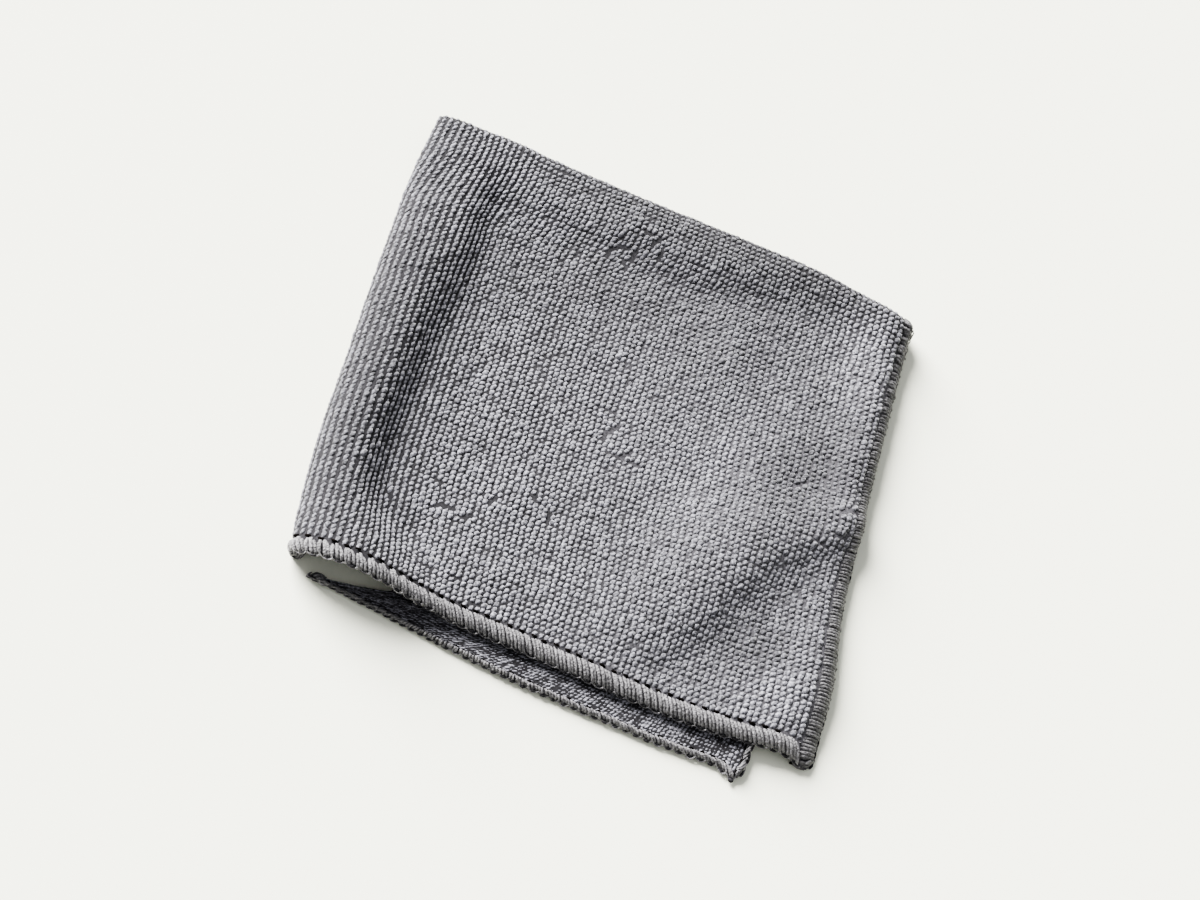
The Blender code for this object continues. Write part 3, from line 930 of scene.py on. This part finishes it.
# The needle stitches: the needle thread, and painted shade where it pulls the knit in.
bpy.ops.mesh.primitive_ico_sphere_add(
    subdivisions=1, radius=MM, location=(-6.0 * MM, 0.4 * MM, 0.8 * MM), scale=(0.55, 1.25, 0.4)
)
needle = new_piece("needle_stitches")
for stitches, seed in ((lip, 33), (needle, 34)):
    each_stitch = len(stitches.data.vertices)
    repeated(stitches, BUNDLES, (0, BUNDLE))
    on_edges(stitches, each_stitch, seed)
# The pile hides the needle line along the right edge, almost down to its front corner.
x, y, _ = vertex_places(needle).T
cut_away(needle, (x > NEEDLE_HIDDEN[0]) & (y > NEEDLE_HIDDEN[1]))

# Textured polyester overlock thread: a little paler and smoother than the knit, with some lustre.
# Painted shade darkens each strand towards its sides, and the right hem's threads more.
# Its fibres are drawn as lumps 0.8 mm apart.
THREAD_FIBRES = 1300  # to the metre
polyester = bpy.data.materials.new("textured polyester thread, pale grey")
polyester.use_nodes = True
nodes = polyester.node_tree.nodes
shader = nodes["Principled BSDF"]
shader.inputs["Roughness"].default_value = 0.6
shader.inputs["Specular IOR Level"].default_value = 0.4
coords = add(nodes, "ShaderNodeTexCoord").outputs["Object"]
fibres = add(
    nodes, "ShaderNodeTexNoise", [("Vector", coords), ("Scale", THREAD_FIBRES), ("Detail", 4)]
)
lift = add(nodes, "ShaderNodeAttribute", attribute_name="lift").outputs["Fac"]
lumps = add(
    nodes,
    "ShaderNodeMath",
    [(0, fibres.outputs["Fac"]), (1, 1.8), (2, -0.9)],
    operation="MULTIPLY_ADD",
)
depth = add(
    nodes,
    "ShaderNodeMath",
    [(0, lift), (1, 0.6), (2, lumps.outputs["Value"])],
    operation="MULTIPLY_ADD",
)
# Painted shade: darker towards each strand's sides.
ramp = add(nodes, "ShaderNodeValToRGB", [("Fac", depth.outputs["Value"])])
for end, position, colour in zip(ramp.color_ramp.elements, (0.0, 0.75), ("#403E41", "#8B898C")):
    end.position = position
    end.color = linear(colour)
tint = add(nodes, "ShaderNodeAttribute", attribute_name="tint").outputs["Fac"]
paler = add(nodes, "ShaderNodeMath", [(0, tint), (1, 0.4), (2, 0.75)], operation="MULTIPLY_ADD")
tinted = add(
    nodes,
    "ShaderNodeVectorMath",
    [(0, ramp.outputs["Color"]), ("Scale", paler.outputs["Value"])],
    operation="SCALE",
)
polyester.node_tree.links.new(tinted.outputs["Vector"], shader.inputs["Base Color"])
bump = add(
    nodes,
    "ShaderNodeBump",
    [("Height", fibres.outputs["Fac"]), ("Strength", 0.9), ("Distance", 0.9 * MM)],
)
polyester.node_tree.links.new(bump.outputs["Normal"], shader.inputs["Normal"])

# The needle thread, pulled down into the knit: painted near black as the deep shade of the groove
# that it pulls, and quite matt.
# Its fibres are drawn as lumps 0.7 mm apart.
SUNK_FIBRES = 1500  # to the metre
sunk = bpy.data.materials.new("polyester thread, sunk in shade")
sunk.use_nodes = True
nodes = sunk.node_tree.nodes
shader = nodes["Principled BSDF"]
shader.inputs["Roughness"].default_value = 0.9
shader.inputs["Specular IOR Level"].default_value = 0.0
coords = add(nodes, "ShaderNodeTexCoord").outputs["Object"]
fibres = add(
    nodes, "ShaderNodeTexNoise", [("Vector", coords), ("Scale", SUNK_FIBRES), ("Detail", 2)]
)
ramp = add(nodes, "ShaderNodeValToRGB", [("Fac", fibres.outputs["Fac"])])
for end, position, colour in zip(ramp.color_ramp.elements, (0.3, 0.7), ("#040404", "#120F0E")):
    end.position = position
    end.color = linear(colour)
sunk.node_tree.links.new(ramp.outputs["Color"], shader.inputs["Base Color"])

# The dark marks along the lip are painted shade, as dark as the ground's, and have its finish.
hem = [strands, loops, lip, needle]
for piece, finish in zip(hem, (polyester, polyester, knit, sunk)):
    piece.data.materials.append(finish)
    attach(piece, "root")
    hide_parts("cloth")


# The stage: a plain pale floor that the cloth lies on, the soft light of a studio window at its far
# left, and the camera, which looks down from the front left with its own top turned to the right.
# The floor is a matt laminate, so it takes the cloth's shadow softly and has no shine.
TARGET = Vector(MIDDLE) * MM
AZIMUTH, ELEVATION, ROLL_ANGLE = (math.radians(angle) for angle in (-18.8, 54.8, 38.4))
DISTANCE = 1.1913  # in metres
LENS = 102.0
SENSOR = 36
FRAMING = (-4.2, -3.9)  # moves the camera in its own plane
WINDOW_ANGLE = math.radians(40)  # how wide the window looks from the cloth
WINDOW_STRENGTH = 26.0
WINDOW_FROM = (-0.71, 0.56, 0.43)
ROOM_STRENGTH = 0.62

bpy.ops.object.select_all(action="DESELECT")
bpy.ops.mesh.primitive_plane_add(size=6)
floor = new_piece("table_top")
paint = bpy.data.materials.new("matt white laminate")
paint.use_nodes = True
paint.node_tree.nodes["Principled BSDF"].inputs["Base Color"].default_value = linear("#EAEBDC")
paint.node_tree.nodes["Principled BSDF"].inputs["Roughness"].default_value = 0.8
floor.data.materials.append(paint)

reach = math.cos(ELEVATION)
back = Vector((math.sin(AZIMUTH) * reach, -math.cos(AZIMUTH) * reach, math.sin(ELEVATION)))
right = Vector((math.cos(AZIMUTH), math.sin(AZIMUTH), 0))
up = back.cross(right)
camera_x = math.cos(ROLL_ANGLE) * right + math.sin(ROLL_ANGLE) * up
camera_y = math.cos(ROLL_ANGLE) * up - math.sin(ROLL_ANGLE) * right
bpy.ops.object.camera_add()
camera = bpy.context.object
camera.name = "photo_camera"
camera.data.lens = LENS
camera.data.sensor_width = SENSOR
camera.data.clip_start = 0.05
place = TARGET + back * DISTANCE + (camera_x * FRAMING[0] + camera_y * FRAMING[1]) * MM
camera.matrix_world = Matrix.Translation(place) @ Matrix(
    [(camera_x[k], camera_y[k], back[k]) for k in range(3)]
).to_4x4()
bpy.context.scene.camera = camera

bpy.ops.object.light_add(type="SUN")
window = bpy.context.object
window.name = "window_light"
window.data.angle = WINDOW_ANGLE
window.data.energy = WINDOW_STRENGTH
window.data.color = (1.0, 0.995, 0.97)
towards = Vector(WINDOW_FROM).normalized()
window.matrix_world = towards.to_track_quat("Z", "Y").to_matrix().to_4x4()

world = bpy.data.worlds.new("studio")
bpy.context.scene.world = world
world.use_nodes = True
world.node_tree.nodes["Background"].inputs["Color"].default_value = (0.97, 0.985, 1, 1)
world.node_tree.nodes["Background"].inputs["Strength"].default_value = ROOM_STRENGTH
bpy.context.scene.view_settings.view_transform = "AgX"
bpy.context.scene.view_settings.look = "AgX - Medium High Contrast"
